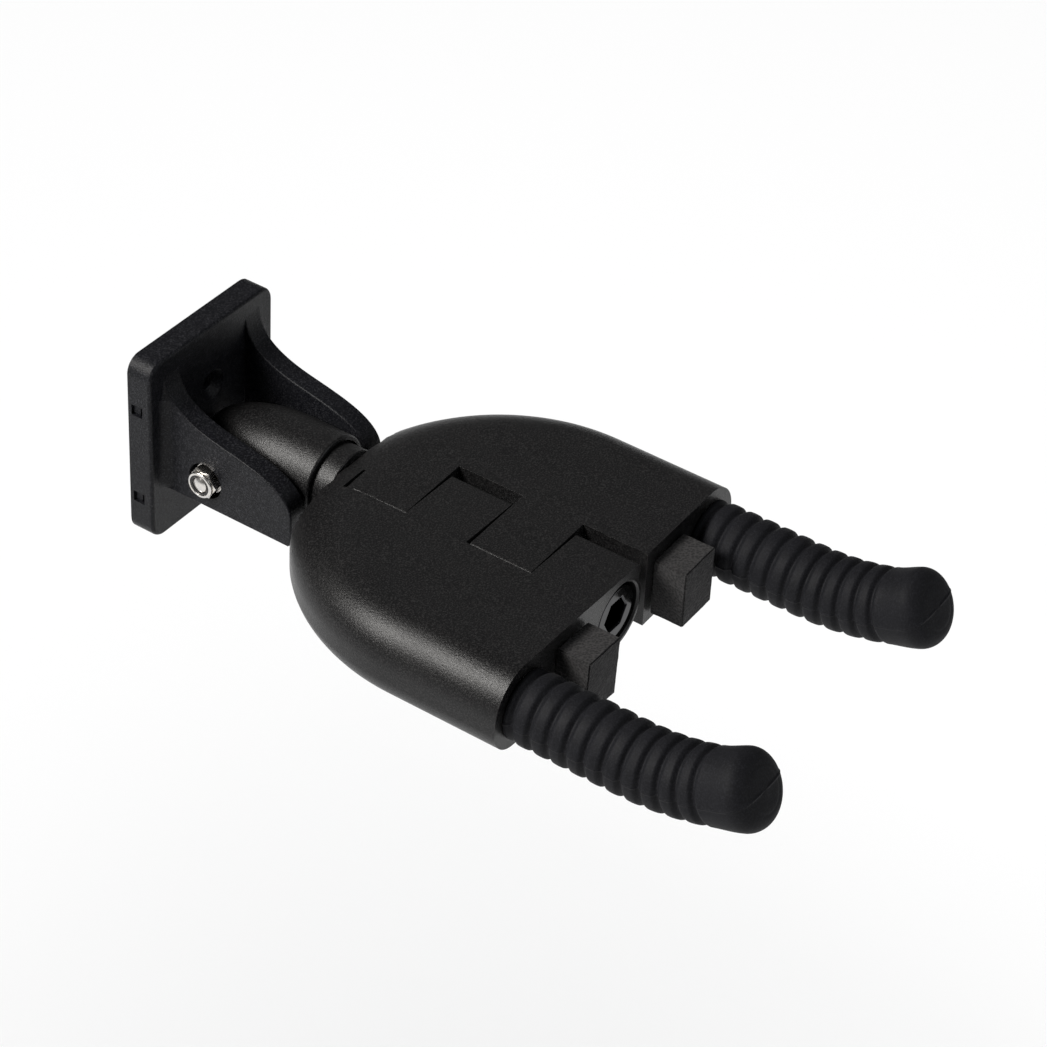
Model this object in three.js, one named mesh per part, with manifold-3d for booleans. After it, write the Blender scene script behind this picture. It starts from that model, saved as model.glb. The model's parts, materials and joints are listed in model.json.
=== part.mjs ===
// Self-gripping wall hanger for a guitar: a moulded bracket screwed to the wall, a barrel that folds up on
// a cross bolt, a neck that swivels in the barrel, and two sprung wings hinged on one long bolt. The weight
// of a headstock on the two rubber-sleeved prongs folds the wings down, and the prongs close on the neck.
// Millimetres. The origin is the centre of the bracket's back face, +Z is up and the prongs point along -Y.
import * as THREE from "three";
import { mergeVertices } from "three/addons/utils/BufferGeometryUtils.js";
import Module from "manifold-3d";

const wasm = await Module();
wasm.setup();

// Driving dimensions.
const GAP = 0.3; // left between pieces that touch
const PLATE = { width: 52, height: 57.8, depth: 8, corner: 5 };
const CHEEK = { inner: 14, outer: 20.2, top: 24, bottom: -13.4, nose: -50.4 };
const AXIS_Z = -3; // height of the barrel, the swivel and the wing hinge
const PIVOT = { y: -21.6, z: -4.7, boltRadius: 2.5, recess: 5.4, recessDepth: 2.8 };
const BARREL = {
  radius: 12.8,
  front: -49.6,
  bore: 11.5,
  boreEnd: -37,
  rear: -8.4,
  dome: 27.6, // length of the rounded rear
  lip: 0.8,
};
const HEEL = { halfWidth: 7, front: -24, top: -6.5, bottom: -13 };
const NECK = { radius: 10.9, journal: 9.3, rear: -38, front: -55.4, shoulder: -47 };
const HEAD = {
  halfWidth: 54.9,
  rear: -56,
  front: -140.3,
  top: 11.9, // above the hinge axis
  bottom: -12.6,
  sideRound: 11.9, // as tall as the top stands above the axis, so that it is a quarter circle
  rearRound: 19.2,
  roundBottom: 9.6,
  curveCentre: -106.1, // where the straight sides meet the elliptical rear
  curveLength: 57.8,
};
const KNUCKLE = {
  joints: [-61.8, -81.3, -101.1, -120.7], // the cross cuts between the interlocked knuckles
  slot: 12.8, // from the axis to the wall that faces a knuckle's tip
  leftTip: 8.9,
  rightTip: 11.7,
  radius: 10.8,
  bore: 6.4,
};
const LUG = { left: -3.9, right: -2.8, underside: 0.5 }; // the rear lugs face each other left of the axis
const HINGE = {
  bolt: 5,
  bush: 6.1,
  headRadius: 8.3,
  headHeight: 8,
  socket: 4.9,
  counterbore: 9.4,
  counterboreDepth: 10.1,
};
const LIFT = 1.75; // degrees that each wing's outer side stands above level when open
const ARM = { x: 42.6, z: -1, radius: 9.85, straight: 31.8, bend: 72, length: 70, prong: 5, depth: 40 };
const BULB = { waist: 9.8, waistAt: 10, radius: 10.6, round: 4.5 }; // waistAt is counted back from the tip
const RIBS = { count: 11, first: 2.6, pitch: 5.3, depth: 1, width: 1.5 };
const FOAM = { inner: 15.5, outer: 29.6, depth: 10, top: 8.1, height: 18.2 };
const SPRING = { coil: 7.9, wire: 0.8, turns: 3.25, length: 8 };
const SIDES = 24; // facets round a cylinder

const finish = (color, roughness, metalness = 0) =>
  new THREE.MeshStandardMaterial({ color, roughness, metalness });
const castBlack = finish(0x17181a, 0.55);
const headBlack = finish(0x141414, 0.6);
const rubber = finish(0x0d0e10, 0.8);
const foam = finish(0x2b2b2d, 0.95);
const nylon = finish(0x1d1d1f, 0.5);
const zinc = finish(0xb9bcc0, 0.3, 1);
const blackSteel = finish(0x1a1a1c, 0.3, 1);
const steel = finish(0x8b8e93, 0.4, 1);

// A closed geometry as a solid for joining and cutting.
function solid(geometry) {
  const bare = geometry.clone();
  for (const name of Object.keys(bare.attributes)) if (name !== "position") bare.deleteAttribute(name);
  const merged = mergeVertices(bare, 1e-4);
  return new wasm.Manifold(
    new wasm.Mesh({
      numProp: 3,
      vertProperties: new Float32Array(merged.attributes.position.array),
      triVerts: new Uint32Array(merged.index.array),
    }),
  );
}

function geometryOf(manifold) {
  const mesh = manifold.getMesh();
  const geometry = new THREE.BufferGeometry();
  geometry.setAttribute("position", new THREE.BufferAttribute(new Float32Array(mesh.vertProperties), 3));
  geometry.setIndex(new THREE.BufferAttribute(new Uint32Array(mesh.triVerts), 1));
  const faceted = geometry.toNonIndexed();
  faceted.computeVertexNormals();
  return faceted;
}

const join = (first, ...rest) => rest.reduce((whole, piece) => whole.add(piece), first);
const cut = (first, ...rest) => rest.reduce((whole, piece) => whole.subtract(piece), first);

function block(x0, x1, y0, y1, z0, z1) {
  const box = new THREE.BoxGeometry(x1 - x0, y1 - y0, z1 - z0);
  return solid(box.translate((x0 + x1) / 2, (y0 + y1) / 2, (z0 + z1) / 2));
}

// A cylinder along X about the pivot, and one along Y through (x, z).
function rodX(radius, x0, x1, sides = SIDES) {
  const rod = new THREE.CylinderGeometry(radius, radius, x1 - x0, sides).rotateZ(Math.PI / 2);
  return solid(rod.translate((x0 + x1) / 2, PIVOT.y, PIVOT.z));
}

function rodY(radius, y0, y1, x = 0, z = 0, sides = SIDES) {
  const rod = new THREE.CylinderGeometry(radius, radius, Math.abs(y1 - y0), sides);
  return solid(rod.translate(x, (y0 + y1) / 2, z));
}

// An outline drawn as (y, z), extruded from x0 to x1.
function prismX(outline, x0, x1) {
  const bar = new THREE.ExtrudeGeometry(outline, { depth: x1 - x0, bevelEnabled: false, curveSegments: 12 });
  const turn = new THREE.Matrix4().set(0, 0, 1, x0, 1, 0, 0, 0, 0, 1, 0, 0, 0, 0, 0, 1);
  return solid(bar.applyMatrix4(turn));
}

// An outline drawn as (x, z), extruded forwards from rear to front.
function prismY(outline, rear, front, segments = 10) {
  const bar = new THREE.ExtrudeGeometry(outline, {
    depth: rear - front,
    bevelEnabled: false,
    curveSegments: segments,
  });
  return solid(bar.rotateX(Math.PI / 2).translate(0, rear, 0));
}

function roundedRectangle(width, height, corner) {
  const shape = new THREE.Shape();
  const [x, y] = [width / 2, height / 2];
  shape.absarc(x - corner, y - corner, corner, 0, Math.PI / 2);
  shape.absarc(-x + corner, y - corner, corner, Math.PI / 2, Math.PI);
  shape.absarc(-x + corner, -y + corner, corner, Math.PI, 1.5 * Math.PI);
  shape.absarc(x - corner, -y + corner, corner, 1.5 * Math.PI, 2 * Math.PI);
  return shape;
}

// --- Bracket ---------------------------------------------------------------------------------------------

const BACKING = { width: 44, height: 46, depth: 3, corner: 3, headroom: 1.5 };
const SCREWS = { heights: [9.5, -19.5], hole: 2.4, countersink: 4.6, countersinkDepth: 2.2 };
const LATCH = { heights: [13.3, -15.7], rear: -1.5, front: -5.2, reach: 4.2, size: 3.4, slack: 0.3 };

// The side outline of a cheek: a hollow sweep down from the plate, then a long shoulder to the blunt nose.
function cheekOutline() {
  const outline = new THREE.Shape();
  const root = -PLATE.depth + 1;
  outline.moveTo(root, CHEEK.top);
  outline.lineTo(-PLATE.depth, CHEEK.top);
  outline.bezierCurveTo(-8.6, 16.5, -14, 12.2, -25, 9.7);
  outline.bezierCurveTo(-36, 7.3, CHEEK.nose, 5.5, CHEEK.nose, -4.5);
  outline.lineTo(CHEEK.nose, CHEEK.bottom + 1);
  outline.lineTo(CHEEK.nose + 1, CHEEK.bottom);
  outline.lineTo(root, CHEEK.bottom);
  return outline;
}

// A block through the plate's side wall at one latch. Side is -1 for the left and 1 for the right.
function latchBlock(side, z, outer, inner, slack) {
  const [x0, x1] = side < 0 ? [-outer, -inner] : [inner, outer];
  const half = LATCH.size / 2 - slack;
  return block(x0, x1, LATCH.front + slack, LATCH.rear - slack, z - half, z + half);
}

const eachLatch = (make) => [-1, 1].flatMap((side) => LATCH.heights.map((z) => make(side, z)));

// The way of one wall screw through the plates, with its head sunk in the front face.
function screwWay(z) {
  const depth = SCREWS.countersinkDepth;
  const sink = new THREE.CylinderGeometry(SCREWS.hole, SCREWS.countersink, depth, 20);
  const way = rodY(SCREWS.hole, 1, -PLATE.depth - 1, 0, z, 20);
  return way.add(solid(sink.translate(0, -PLATE.depth + depth / 2 - 0.01, z)));
}

function wallBracket() {
  const plate = prismY(roundedRectangle(PLATE.width, PLATE.height, PLATE.corner), 0, -PLATE.depth, 6);
  const cheeks = [-1, 1].map((side) =>
    prismX(cheekOutline(), side < 0 ? -CHEEK.outer : CHEEK.inner, side < 0 ? -CHEEK.inner : CHEEK.outer),
  );
  const pocket = block(
    -BACKING.width / 2 - GAP,
    BACKING.width / 2 + GAP,
    -BACKING.depth - BACKING.headroom,
    1,
    -BACKING.height / 2 - GAP,
    BACKING.height / 2 + GAP,
  );
  const wall = PLATE.width / 2;
  const latches = eachLatch((side, z) => latchBlock(side, z, wall + 1, wall - LATCH.reach, 0));
  const screwHoles = SCREWS.heights.map(screwWay);
  const pivotHole = rodX(PIVOT.boltRadius + 0.2, -CHEEK.outer - 1, CHEEK.outer + 1);
  const floor = CHEEK.outer - PIVOT.recessDepth;
  const recesses = [
    rodX(PIVOT.recess, -CHEEK.outer - 1, -floor),
    rodX(PIVOT.recess, floor, CHEEK.outer + 1),
  ];
  return cut(join(plate, ...cheeks), pocket, ...latches, ...screwHoles, pivotHole, ...recesses);
}

// The plate that the screws clamp to the wall. Its four tongues snap into the bracket's side pockets.
function backingPlate() {
  const sheet = prismY(roundedRectangle(BACKING.width, BACKING.height, BACKING.corner), 0, -BACKING.depth, 5);
  const tip = PLATE.width / 2 - 0.8;
  const tongues = eachLatch((side, z) => {
    const tongue = latchBlock(side, z, tip, BACKING.width / 2 - 3, LATCH.slack);
    return tongue.intersect(block(-tip, tip, -BACKING.depth - 1, 0, -PLATE.height, PLATE.height));
  });
  return cut(join(sheet, ...tongues), ...SCREWS.heights.map(screwWay));
}

// --- Pivot bolt and its nut ------------------------------------------------------------------------------

const NUT = { across: 8, hex: 3, collar: 1, collarRadius: 3.95, ringInner: 2.6, ringOuter: 3.1 };
const BUTTON = { radius: 4.75, crown: 3.6, height: 2.4, shoulder: 1.2, socket: 1.9 };
const WASHER = { radius: 4.5, thickness: 0.8 };
const washerX = CHEEK.outer - PIVOT.recessDepth + GAP;
const nutX = washerX + WASHER.thickness + GAP;

const pivotWasher = (side) => {
  const [x0, x1] = side < 0 ? [-washerX - WASHER.thickness, -washerX] : [washerX, washerX + WASHER.thickness];
  return cut(rodX(WASHER.radius, x0, x1), rodX(PIVOT.boltRadius + 0.3, x0 - 1, x1 + 1));
};

// A button-head bolt. Its head is on the right, and its domed end stands in the nut on the left.
function pivotBolt() {
  const end = nutX + NUT.hex + NUT.collar - 0.2;
  const head = nutX + BUTTON.height;
  const radius = PIVOT.boltRadius;
  const profile = [
    [0, -end - 0.5],
    [radius * 0.6, -end - 0.4],
    [radius, -end],
    [radius, nutX],
    [BUTTON.radius, nutX],
    [BUTTON.radius, head - BUTTON.shoulder],
    [BUTTON.crown, head],
    [0, head],
  ].map(([across, along]) => new THREE.Vector2(across, along));
  const turned = new THREE.LatheGeometry(profile, SIDES).rotateZ(-Math.PI / 2);
  const socket = rodX(BUTTON.socket, head - 1.6, head + 1, 6);
  return cut(solid(turned.translate(0, PIVOT.y, PIVOT.z)), socket);
}

function pivotNut() {
  const hexRadius = NUT.across / Math.sqrt(3);
  const hex = rodX(hexRadius, -nutX - NUT.hex, -nutX, 6);
  const collar = rodX(NUT.collarRadius, -nutX - NUT.hex - NUT.collar, -nutX - NUT.hex + 0.5);
  const thread = rodX(PIVOT.boltRadius + 0.1, -nutX - 9, -nutX + 1);
  const ringSeat = rodX(NUT.ringOuter + 0.1, -nutX - 9, -nutX - NUT.hex - 0.2);
  return cut(join(hex, collar), thread, ringSeat);
}

function nutRing() {
  const [x0, x1] = [-nutX - NUT.hex - NUT.collar + 0.3, -nutX - NUT.hex - 0.4];
  return cut(rodX(NUT.ringOuter, x0, x1), rodX(NUT.ringInner, x0 - 1, x1 + 1));
}

// --- Barrel ----------------------------------------------------------------------------------------------

const BUSH = { radius: 3.7, flange: 4.8, inner: 5, face: 11.1, outer: 13.7 };

// Turned about the swivel axis, with a long dome at the rear that swings up past the plate. The square heel
// under the dome bears on the plate and stops the barrel at level.
function barrel() {
  const profile = [];
  const steps = 10;
  for (let step = 0; step <= steps; step += 1) {
    const angle = (step / steps) * (Math.PI / 2);
    const y = BARREL.rear - BARREL.dome * (1 - Math.cos(angle));
    profile.push(new THREE.Vector2(BARREL.radius * Math.sin(angle), y));
  }
  profile.push(new THREE.Vector2(BARREL.radius, BARREL.front + BARREL.lip));
  profile.push(new THREE.Vector2(BARREL.radius - BARREL.lip, BARREL.front));
  profile.push(new THREE.Vector2(0, BARREL.front));
  const body = solid(new THREE.LatheGeometry(profile.reverse(), SIDES).translate(0, 0, AXIS_Z));
  const heel = block(-HEEL.halfWidth, HEEL.halfWidth, HEEL.front, BARREL.rear, HEEL.bottom, HEEL.top);
  const bore = rodY(BARREL.bore, BARREL.boreEnd, BARREL.front - 1, 0, AXIS_Z);
  const crossBore = rodX(BUSH.radius + GAP, -20, 20);
  const flats = [-1, 1].map((s) => rodX(BUSH.flange + GAP, s < 0 ? -20 : BUSH.face, s < 0 ? -BUSH.face : 20));
  const screwHole = solid(
    new THREE.CylinderGeometry(SCREW.radius + GAP, SCREW.radius + GAP, 8, 16)
      .rotateX(Math.PI / 2)
      .translate(0, SCREW.y, AXIS_Z - BARREL.radius),
  );
  return cut(join(body, heel), bore, crossBore, ...flats, screwHole);
}

// A flanged nylon bush, pressed into the barrel from either side to run on the pivot bolt.
function pivotBush(side) {
  const span = (a, b) => (side < 0 ? [-b, -a] : [a, b]);
  const body = join(
    rodX(BUSH.radius, ...span(BUSH.inner, BUSH.face + 0.5)),
    rodX(BUSH.flange, ...span(BUSH.face + GAP, BUSH.outer)),
  );
  return cut(body, rodX(PIVOT.boltRadius + 0.1, ...span(0, 20)));
}

// --- Neck and hinge bolt ---------------------------------------------------------------------------------

const SCREW = { radius: 2, y: -42.5 };
const GROOVE = { radius: 7.6, width: 5.4 };

// The neck turns in the barrel on a nylon liner. A grub screw's tip in its groove keeps it there.
function neck() {
  const collar = rodY(NECK.radius, NECK.shoulder, NECK.front, 0, AXIS_Z, 32);
  const journal = rodY(NECK.journal, NECK.rear, NECK.shoulder - 1, 0, AXIS_Z);
  const half = GROOVE.width / 2;
  const grooveBlank = rodY(NECK.journal + 1, SCREW.y + half, SCREW.y - half, 0, AXIS_Z);
  const core = rodY(GROOVE.radius, -30, -60, 0, AXIS_Z);
  const groove = grooveBlank.subtract(core);
  const thread = rodY(HINGE.bolt + 0.1, NECK.rear - 2, NECK.front - 1, 0, AXIS_Z, 24);
  return cut(join(collar, journal), groove, thread);
}

// The nylon thrust ring that shows as a dark line inside the barrel's rim.
function thrustRing() {
  const [rear, front] = [NECK.shoulder - 0.5, BARREL.front + 1.2];
  const outer = rodY(BARREL.bore - 0.1, rear, front, 0, AXIS_Z, 32);
  return cut(outer, rodY(NECK.radius + 0.15, rear + 1, front - 1, 0, AXIS_Z, 32));
}

function liner() {
  const [rear, front] = [NECK.shoulder + 2, NECK.shoulder + GAP];
  const outer = rodY(BARREL.bore - 0.1, rear, front, 0, AXIS_Z);
  return cut(outer, rodY(NECK.journal + 0.15, rear + 1, front - 1, 0, AXIS_Z));
}

function retainingScrew() {
  const top = AXIS_Z - GROOVE.radius - GAP;
  const base = AXIS_Z - BARREL.radius + 0.6;
  const shank = new THREE.CylinderGeometry(SCREW.radius, SCREW.radius, top - base, 16);
  const socket = new THREE.CylinderGeometry(1.1, 1.1, 2, 6).rotateX(Math.PI / 2);
  return cut(
    solid(shank.rotateX(Math.PI / 2).translate(0, SCREW.y, (top + base) / 2)),
    solid(socket.translate(0, SCREW.y, base)),
  );
}

const boltSeat = HEAD.front + HINGE.counterboreDepth; // the washer lies on this floor of the counterbore

function hingeBolt() {
  const headRear = boltSeat - 1.4;
  const shank = rodY(HINGE.bolt, NECK.rear - 4, headRear - 1, 0, AXIS_Z);
  const headFront = headRear - HINGE.headHeight;
  const head = rodY(HINGE.headRadius, headRear, headFront, 0, AXIS_Z);
  const socket = rodY(HINGE.socket, headFront + 5, headFront - 1, 0, AXIS_Z, 6);
  return cut(join(shank, head), socket);
}

function hingeWasher() {
  const [rear, front] = [boltSeat - GAP, boltSeat - 1.1];
  return cut(rodY(9, rear, front, 0, AXIS_Z), rodY(HINGE.bolt + 0.2, rear + 1, front - 1, 0, AXIS_Z));
}

// --- Wings, in coordinates about the hinge axis and level, before they are lifted -------------------------

// The whole head: level outlines of a flat front, straight sides and an elliptical rear, one for each height.
function headSlab() {
  const steps = 6;
  const levels = [];
  for (let i = steps; i >= 0; i -= 1) levels.push([-1, (i / steps) * (Math.PI / 2)]);
  for (let i = 0; i <= steps; i += 1) levels.push([1, (i / steps) * (Math.PI / 2)]);
  const arcSteps = 28;
  const rings = levels.map(([side, angle]) => {
    const inset = 1 - Math.cos(angle);
    const halfWidth = HEAD.halfWidth - inset * (side > 0 ? HEAD.sideRound : HEAD.roundBottom);
    const length = HEAD.curveLength - inset * HEAD.rearRound;
    const height =
      side > 0
        ? HEAD.top - HEAD.sideRound * (1 - Math.sin(angle))
        : HEAD.bottom + HEAD.roundBottom * (1 - Math.sin(angle));
    const ring = [new THREE.Vector3(halfWidth, HEAD.front, height)];
    for (let i = 0; i <= arcSteps; i += 1) {
      const turn = (i / arcSteps) * Math.PI;
      const y = HEAD.curveCentre + length * Math.sin(turn);
      ring.push(new THREE.Vector3(halfWidth * Math.cos(turn), Math.min(y, HEAD.rear), height));
    }
    ring.push(new THREE.Vector3(-halfWidth, HEAD.front, height));
    return ring;
  });
  return loft(rings);
}

// A solid through a stack of closed rings with equal numbers of points, each end closed by a fan.
function loft(rings) {
  const points = [];
  const triangle = (a, b, c) => points.push(a, b, c);
  const count = rings[0].length;
  for (let r = 0; r + 1 < rings.length; r += 1) {
    for (let i = 0; i < count; i += 1) {
      const j = (i + 1) % count;
      const [low, high] = [rings[r], rings[r + 1]];
      triangle(low[i], low[j], high[j]);
      triangle(low[i], high[j], high[i]);
    }
  }
  const middle = (ring) => ring.reduce((sum, p) => sum.add(p), new THREE.Vector3()).divideScalar(count);
  const [first, last] = [rings[0], rings[rings.length - 1]];
  const [start, end] = [middle(first), middle(last)];
  for (let i = 0; i < count; i += 1) {
    const j = (i + 1) % count;
    triangle(first[j], first[i], start);
    triangle(last[i], last[j], end);
  }
  return solid(new THREE.BufferGeometry().setFromPoints(points));
}

// A knuckle in section: a round barrel on the axis with a square lug on top, and its web to the wing.
function knuckleOutline(tip) {
  const outline = new THREE.Shape();
  const sideAngle = Math.acos(Math.min(tip / KNUCKLE.radius, 1));
  const reach = Math.PI * 0.61;
  outline.moveTo(-30, HEAD.top + 1);
  outline.lineTo(-30, HEAD.bottom - 1);
  outline.lineTo(-9, HEAD.bottom - 1);
  outline.lineTo(-9, HEAD.bottom);
  outline.absarc(0, 0, KNUCKLE.radius, -reach, tip > KNUCKLE.radius ? 0 : sideAngle);
  if (tip > KNUCKLE.radius) outline.lineTo(tip, 3);
  outline.lineTo(tip, HEAD.top + 1);
  return outline;
}

// The lug at the rear stands only above the axis, clear of the other wing's lug when they fold. The right
// wing's lug reaches past the axis and is one with its first knuckle.
function rearLug(side) {
  const joint = KNUCKLE.joints[0];
  const [tip, front] = side < 0 ? [LUG.left, joint + GAP] : [-LUG.right, joint - 1];
  return block(-30, tip, front, HEAD.rear + 1, LUG.underside, HEAD.top + 1);
}

// Built with its body at -X. The right wing is the mirror image, with knuckles in the other bays.
function wing(side) {
  const [j0, j1, j2, j3] = KNUCKLE.joints;
  const front = HEAD.front - 1;
  const bays = side < 0 ? [[j1, j2], [j3, front]] : [[j0, j1], [j2, j3]];
  const tip = side < 0 ? KNUCKLE.leftTip : KNUCKLE.rightTip;
  const body = block(-80, -KNUCKLE.slot, front, HEAD.rear + 1, HEAD.bottom - 1, HEAD.top + 1);
  const knuckles = bays.map(([rear, fore]) => prismY(knuckleOutline(tip), rear - GAP, fore + GAP));
  const region = join(body, rearLug(side), ...knuckles);
  const half = headSlab().intersect(region);
  const bore = rodY(KNUCKLE.bore, HEAD.rear + 2, front - 1);
  const socket = rodY(ARM.prong + GAP, HEAD.front + ARM.depth, front - 1, -ARM.x, ARM.z);
  const grubHole = solid(
    new THREE.CylinderGeometry(2.3, 2.3, 14, 16).rotateX(Math.PI / 2).translate(-ARM.x, GRUB_Y, ARM.z - 9),
  );
  const springPocket = springSpan(side);
  const pocket = rodY(SPRING.coil + SPRING.wire + 0.5, springPocket.mouth, springPocket.floor);
  const counterbore = rodY(HINGE.counterbore, boltSeat, front - 1);
  return cut(half, bore, socket, grubHole, pocket, ...(side < 0 ? [counterbore] : []));
}

// Each wing has one return spring, in a pocket at the end of a knuckle.
function springSpan(side) {
  const [, j1, j2] = KNUCKLE.joints;
  return side < 0
    ? { mouth: j1 + 1, floor: j1 - GAP - SPRING.length - 1.4, centre: j1 - GAP - SPRING.length / 2 - 0.8 }
    : { mouth: j2 + 1, floor: j2 - GAP - SPRING.length - 1.4, centre: j2 - GAP - SPRING.length / 2 - 0.8 };
}

class Helix extends THREE.Curve {
  getPoint(t) {
    const turn = t * SPRING.turns * 2 * Math.PI;
    const y = (0.5 - t) * (SPRING.length - 2 * SPRING.wire);
    return new THREE.Vector3(SPRING.coil * Math.cos(turn), y, SPRING.coil * Math.sin(turn));
  }
}

function returnSpring(side) {
  const wire = new THREE.Shape().absarc(0, 0, SPRING.wire, 0, 2 * Math.PI);
  const coil = new THREE.ExtrudeGeometry(wire, { steps: 48, curveSegments: 3, extrudePath: new Helix() });
  return solid(coil.translate(0, springSpan(side).centre, 0));
}

// Two plain bushes run on the hinge bolt inside each wing, one in each knuckle.
function hingeBush(side, bay) {
  const [j0, j1, j2, j3] = KNUCKLE.joints;
  const bays = side < 0 ? [[j1 - 10.5, j2], [j3, boltSeat + 1]] : [[j0, j1], [j2 - 10.5, j3]];
  const [rear, front] = bays[bay];
  return cut(rodY(HINGE.bush, rear - 1, front + 1), rodY(HINGE.bolt + 0.15, rear, front - 1));
}

const GRUB_Y = HEAD.front + 20;

function prongScrew() {
  const top = ARM.z - ARM.prong - GAP;
  const shank = new THREE.CylinderGeometry(2, 2, 5, 16).rotateX(Math.PI / 2);
  const socket = new THREE.CylinderGeometry(1.1, 1.1, 2.4, 6).rotateX(Math.PI / 2);
  return cut(
    solid(shank.translate(-ARM.x, GRUB_Y, top - 2.5)),
    solid(socket.translate(-ARM.x, GRUB_Y, top - 5)),
  );
}

// A point on an arm's centre line, at a distance along it from the front face, and its unit direction.
function armPoint(distance) {
  const turn = Math.max(0, distance - ARM.straight) / ARM.bend;
  const level = Math.min(distance, ARM.straight);
  const point = new THREE.Vector3(
    -ARM.x,
    HEAD.front - level - ARM.bend * Math.sin(turn),
    ARM.z + ARM.bend * (1 - Math.cos(turn)),
  );
  return { point, turn };
}

// A round solid along the arm, with a radius given at each distance.
function alongArm(stations, sides) {
  const rings = stations.map(([distance, radius]) => {
    const { point, turn } = armPoint(distance);
    const ring = [];
    for (let i = 0; i < sides; i += 1) {
      const angle = (i / sides) * 2 * Math.PI;
      const up = radius * Math.sin(angle);
      const across = radius * Math.cos(angle);
      const offset = new THREE.Vector3(across, up * Math.sin(turn), up * Math.cos(turn));
      ring.push(offset.add(point));
    }
    return ring;
  });
  return loft(rings);
}

function prong() {
  return alongArm([[-ARM.depth + 1, ARM.prong], ...bend(ARM.prong)], 16);
}

// Equal stations round the bend, stopping short of the sleeve's tip.
function bend(radius) {
  const stations = [];
  for (let distance = ARM.straight; distance <= ARM.length - 8; distance += 6) {
    stations.push([distance, radius]);
  }
  return stations;
}

// The rubber sleeve: a plain collar, rounded ribs parted by narrow grooves, and a smooth flared bulb.
function sleeve() {
  const stations = [[GAP, ARM.radius - 0.8]];
  for (let rib = 0; rib < RIBS.count; rib += 1) {
    const groove = RIBS.first + rib * RIBS.pitch;
    stations.push([groove, ARM.radius - RIBS.depth]);
    stations.push([groove + RIBS.width / 2, ARM.radius - 0.1]);
    stations.push([groove + RIBS.pitch - RIBS.width / 2, ARM.radius - 0.1]);
  }
  const { waist, waistAt, radius, round } = BULB;
  stations.push([ARM.length - waistAt, waist]);
  for (let step = 0; step <= 4; step += 1) {
    const angle = (step / 4) * (Math.PI / 2);
    stations.push([ARM.length - round + round * Math.sin(angle), radius - round + round * Math.cos(angle)]);
  }
  const slack = ARM.prong + GAP;
  const bore = [[-1, slack], ...bend(slack), [ARM.length - 5, slack]];
  return cut(alongArm(stations, 20), alongArm(bore, 12));
}

function foamBlock() {
  const y = HEAD.front - GAP;
  return block(-FOAM.outer, -FOAM.inner, y - FOAM.depth, y, FOAM.top - FOAM.height, FOAM.top);
}

// --- Assembly --------------------------------------------------------------------------------------------

const hanger = new THREE.Group();

function place(parent, name, manifold, material) {
  const mesh = new THREE.Mesh(geometryOf(manifold), material);
  mesh.name = name;
  parent.add(mesh);
}

const FACING = { left: -1, right: 1 };

place(hanger, "wall_bracket", wallBracket(), castBlack);
place(hanger, "backing_plate", backingPlate(), castBlack);
place(hanger, "pivot_bolt", pivotBolt(), zinc);
place(hanger, "pivot_nut", pivotNut(), zinc);
place(hanger, "pivot_nut_ring", nutRing(), nylon);
place(hanger, "barrel", barrel(), headBlack);
for (const [name, side] of Object.entries(FACING)) {
  place(hanger, `pivot_washer_${name}`, pivotWasher(side), zinc);
  place(hanger, `pivot_bush_${name}`, pivotBush(side), nylon);
}
place(hanger, "swivel_screw", retainingScrew(), blackSteel);
place(hanger, "swivel_thrust_ring", thrustRing(), nylon);
place(hanger, "swivel_liner", liner(), nylon);
place(hanger, "neck", neck(), headBlack);
place(hanger, "hinge_bolt", hingeBolt(), blackSteel);
place(hanger, "hinge_washer", hingeWasher(), blackSteel);

// Every piece of a wing is made at -X. The right wing's pieces are mirrored before they are placed.
for (const [name, side] of Object.entries(FACING)) {
  const group = new THREE.Group();
  group.position.z = AXIS_Z;
  group.rotation.y = THREE.MathUtils.degToRad(-side * LIFT);
  hanger.add(group);
  const facing = (piece) => (side < 0 ? piece : piece.mirror([1, 0, 0]));
  place(group, `${name}_wing`, facing(wing(side)), headBlack);
  place(group, `${name}_prong`, facing(prong()), steel);
  place(group, `${name}_prong_screw`, facing(prongScrew()), blackSteel);
  place(group, `${name}_sleeve`, facing(sleeve()), rubber);
  place(group, `${name}_foam_block`, facing(foamBlock()), foam);
  place(group, `${name}_return_spring`, facing(returnSpring(side)), steel);
  place(group, `${name}_hinge_bush_rear`, facing(hingeBush(side, 0)), nylon);
  place(group, `${name}_hinge_bush_front`, facing(hingeBush(side, 1)), nylon);
}

export default hanger;
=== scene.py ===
import json
import math

import bmesh
import bpy
from mathutils import Matrix, Quaternion, Vector, noise


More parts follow.
